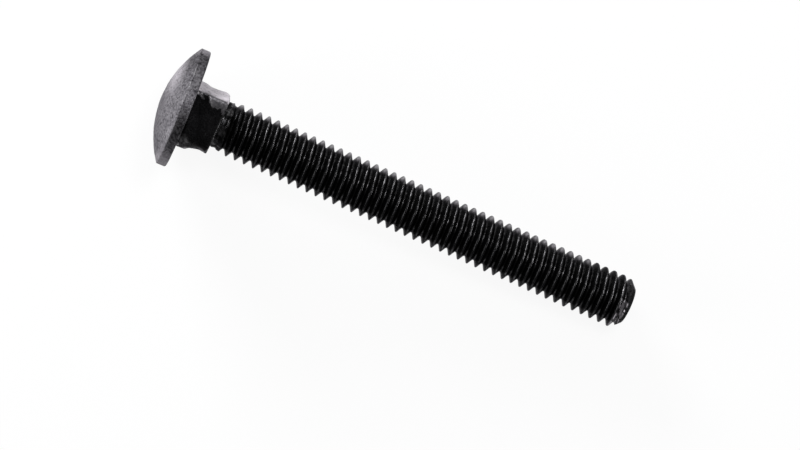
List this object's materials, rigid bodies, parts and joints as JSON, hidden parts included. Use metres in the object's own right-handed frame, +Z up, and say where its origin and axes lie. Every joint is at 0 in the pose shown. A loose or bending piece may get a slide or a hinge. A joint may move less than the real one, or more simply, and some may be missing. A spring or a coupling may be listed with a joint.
{
  "type": "carriage bolt",
  "caption": "Carriage bolt with a low domed round head, a square neck under it and a right-hand thread from the neck to the bevelled end.",
  "frame": {"origin": "on the floor under the middle of the bolt's box, as it lies at rest on the rim of its head and on the last full turn of its thread", "axes": "+Z is up; +X runs along the floor from the head to the threaded end; the bolt's own axis slopes down towards +X by 4.05 degrees"},
  "size_m": [0.074, 0.0176, 0.0176],
  "materials": {
    "black_oxide_steel": "dull black oxide over forged and rolled steel, greyer on the head and on the crests"
  },
  "bodies": {
    "root": {"carriage_bolt": "black_oxide_steel"}
  },
  "joints": []
}
